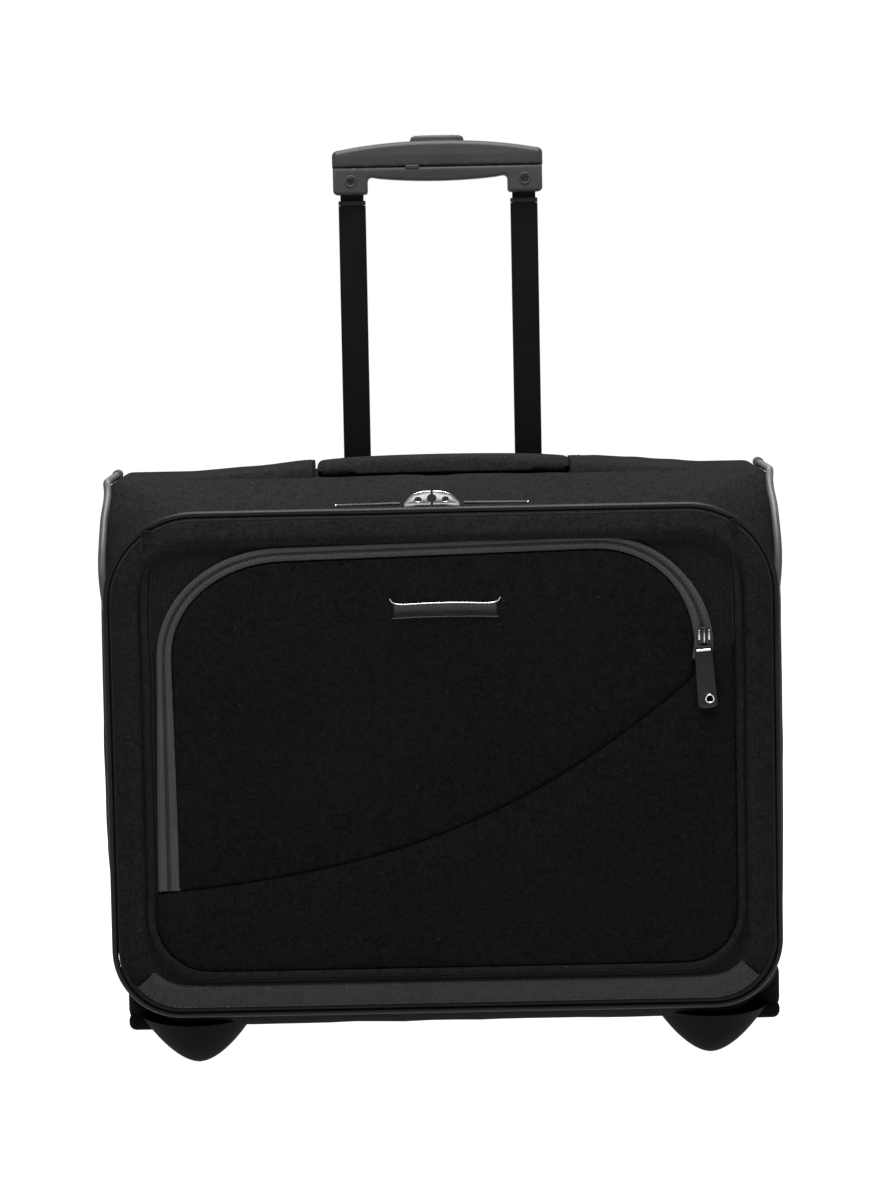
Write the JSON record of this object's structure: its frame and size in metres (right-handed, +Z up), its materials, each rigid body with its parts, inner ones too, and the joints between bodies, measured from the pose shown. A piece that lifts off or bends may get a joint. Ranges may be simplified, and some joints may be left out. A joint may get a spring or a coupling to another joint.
{
  "type": "pilot rolling flight case",
  "caption": "Soft-sided rolling flight case with a zip-round drop-front lid, a front pocket, a telescopic pull handle, a padded top handle and rear corner wheels.",
  "frame": {"origin": "on the floor under the middle of the case: centre of the bounding box's lower face", "axes": "+Z up, the lid faces -Y, +X to the right as seen from the front"},
  "size_m": [0.4558, 0.2184, 0.6325],
  "materials": {
    "black_fabric": "woven polyester, matte, charcoal black",
    "grey_fabric": "woven polyester, matte, dark grey",
    "lining": "thin woven lining, dark grey",
    "grey_piping": "satin grey vinyl cord edging",
    "black_piping": "glossy black vinyl cord edging",
    "zip_black": "black zip tape with coil teeth",
    "black_plastic": "moulded, fine grain, matte black",
    "satin_plastic": "moulded, satin charcoal",
    "tube_metal": "satin black anodised",
    "bright_metal": "bright nickel plate",
    "steel": "plain steel",
    "tyre_rubber": "matte black tread",
    "board": "stiff plastic board"
  },
  "bodies": {
    "case": {"top_panel": "black_fabric", "side_panel_left": "black_fabric", "side_panel_right": "black_fabric", "base_tray": "black_plastic", "rear_panel": "black_fabric", "side_piping_left": "grey_piping", "side_piping_right": "grey_piping", "zip_gusset": "black_fabric", "main_zip_tape": "zip_black", "tube_bezel": "black_plastic", "tube_foot": "black_plastic", "outer_tube_left": "tube_metal", "outer_tube_right": "tube_metal", "handle_anchor_left": "black_fabric", "handle_anchor_right": "black_fabric", "wheel_housing_left": "black_plastic", "wheel_housing_right": "black_plastic", "axle_left": "steel", "axle_right": "steel", "back_board": "lining", "base_board": "board", "laptop_divider": "lining", "divider_strap": "black_fabric"},
    "lid": {"lid_panel": "black_fabric", "lid_piping": "black_piping", "lid_welt": "black_fabric", "accent_band": "grey_fabric", "pocket_zip_tape": "grey_fabric", "pocket_panel": "black_fabric", "pocket_lower_panel": "black_fabric", "pocket_bag": "lining", "badge_plate": "bright_metal", "lid_zip_tape": "zip_black"},
    "pocket_slider": {"pocket_slider": "bright_metal"},
    "pocket_puller": {"pocket_puller": "black_plastic"},
    "zip_slider_left": {"zip_slider_left": "bright_metal"},
    "zip_slider_right": {"zip_slider_right": "bright_metal"},
    "zip_tag_left": {"zip_tag_left": "black_plastic"},
    "zip_tag_right": {"zip_tag_right": "black_plastic"},
    "carry_handle": {"carry_handle": "black_fabric"},
    "middle_stage": {"middle_tube_left": "tube_metal", "middle_tube_right": "tube_metal", "stage_cap_left": "black_plastic", "stage_cap_right": "black_plastic"},
    "inner_stage": {"inner_tube_left": "tube_metal", "inner_tube_right": "tube_metal", "grip_lower_shell": "satin_plastic", "grip_upper_shell": "satin_plastic", "grip_screw_left": "steel", "grip_screw_right": "steel", "button_spring": "steel"},
    "release_button": {"release_button": "black_plastic", "release_bar": "steel"},
    "wheel_left": {"tyre_left": "tyre_rubber", "wheel_hub_left": "satin_plastic", "wheel_bush_left": "steel"},
    "wheel_right": {"tyre_right": "tyre_rubber", "wheel_hub_right": "satin_plastic", "wheel_bush_right": "steel"}
  },
  "joints": [
    {"name": "middle_stage_slide", "type": "slide", "parent": "case", "child": "middle_stage", "axis": [0, 0, 1], "range_m": [-0.184, 0.09]},
    {"name": "inner_stage_slide", "type": "slide", "parent": "middle_stage", "child": "inner_stage", "axis": [0, 0, 1], "range_m": [0, 0.24]},
    {"name": "release_button_press", "type": "slide", "parent": "inner_stage", "child": "release_button", "axis": [0, 0, -1], "range_m": [0, 0.0022], "stiffness_N_per_m": 900, "springref_m": -0.002, "deforming": ["button_spring"]},
    {"name": "lid_hinge", "type": "hinge", "parent": "case", "child": "lid", "pos_m": [0, -0.0935, 0.048], "axis": [1, 0, 0], "range_deg": [0, 90]},
    {"name": "pocket_zip_run", "type": "hinge", "parent": "lid", "child": "pocket_slider", "pos_m": [0.099, -0.1, 0.287], "axis": [0, -1, 0], "range_deg": [0, 75]},
    {"name": "pocket_puller_swing", "type": "hinge", "parent": "pocket_slider", "child": "pocket_puller", "pos_m": [0.1689, -0.1085, 0.2884], "axis": [-1, 0, 0], "range_deg": [0, 150]},
    {"name": "zip_left_run", "type": "slide", "parent": "case", "child": "zip_slider_left", "axis": [-1, 0, 0], "range_m": [0, 0.138]},
    {"name": "zip_right_run", "type": "slide", "parent": "case", "child": "zip_slider_right", "axis": [1, 0, 0], "range_m": [0, 0.155]},
    {"name": "tag_left_swing", "type": "hinge", "parent": "zip_slider_left", "child": "zip_tag_left", "pos_m": [-0.028, -0.0905, 0.3852], "axis": [0, 1, 0], "range_deg": [0, 88]},
    {"name": "tag_right_swing", "type": "hinge", "parent": "zip_slider_right", "child": "zip_tag_right", "pos_m": [0.011, -0.0905, 0.3852], "axis": [0, -1, 0], "range_deg": [0, 88]},
    {"name": "carry_handle_lift", "type": "slide", "parent": "case", "child": "carry_handle", "axis": [0, 0, 1], "range_m": [0, 0.018]},
    {"name": "wheel_left_spin", "type": "hinge", "parent": "case", "child": "wheel_left", "pos_m": [-0.1755, 0.0792, 0.03], "axis": [1, 0, 0], "continuous": true},
    {"name": "wheel_right_spin", "type": "hinge", "parent": "case", "child": "wheel_right", "pos_m": [0.1755, 0.0792, 0.03], "axis": [1, 0, 0], "continuous": true}
  ]
}
